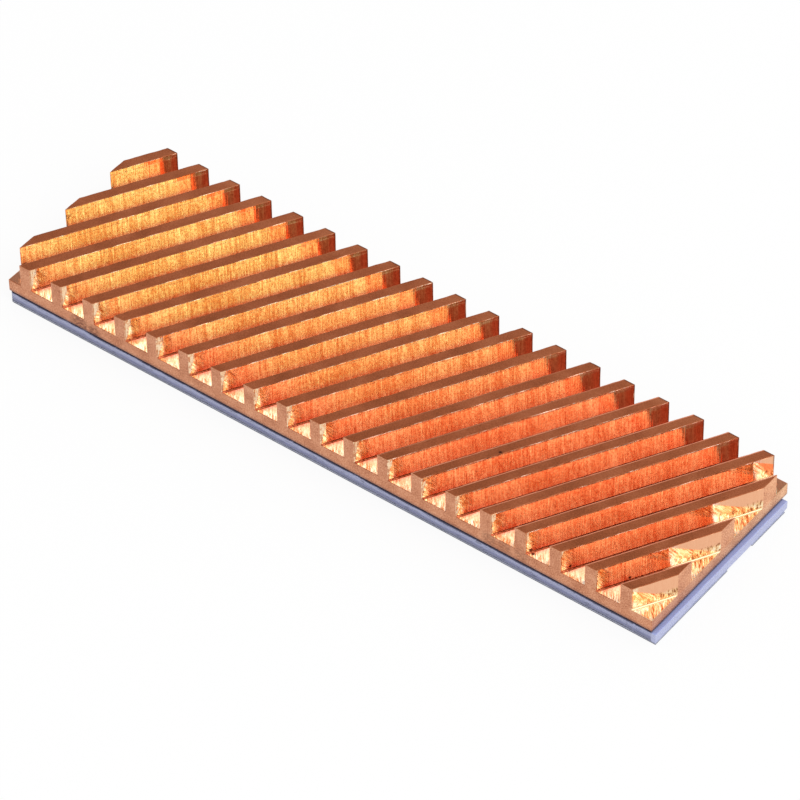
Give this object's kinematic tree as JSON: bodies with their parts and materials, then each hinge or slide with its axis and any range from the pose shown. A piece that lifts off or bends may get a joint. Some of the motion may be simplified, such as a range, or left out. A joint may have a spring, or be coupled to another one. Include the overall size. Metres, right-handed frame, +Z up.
{
  "type": "ssd heat sink",
  "caption": "Flat copper heat sink for a stick-shaped solid state drive, with diagonal fins milled from one plate, a soft thermal pad beneath and a release liner over the pad.",
  "frame": {"origin": "under the centre of the copper plate, on the underside of the release liner, where the part rests", "axes": "+X along the plate, towards the end where the pad stands out; +Y across the plate, towards the edge where the pad stops short; +Z up, out of the fins"},
  "size_m": [0.0704, 0.02, 0.0051],
  "materials": {
    "copper": "bare copper, milled slots and sawn ends, satin",
    "pad": "soft silicone, matte, slightly tacky",
    "liner": "thin smooth film"
  },
  "bodies": {
    "root": {"heat_sink_body": "copper", "thermal_pad": "pad", "release_liner": "liner"}
  },
  "joints": []
}
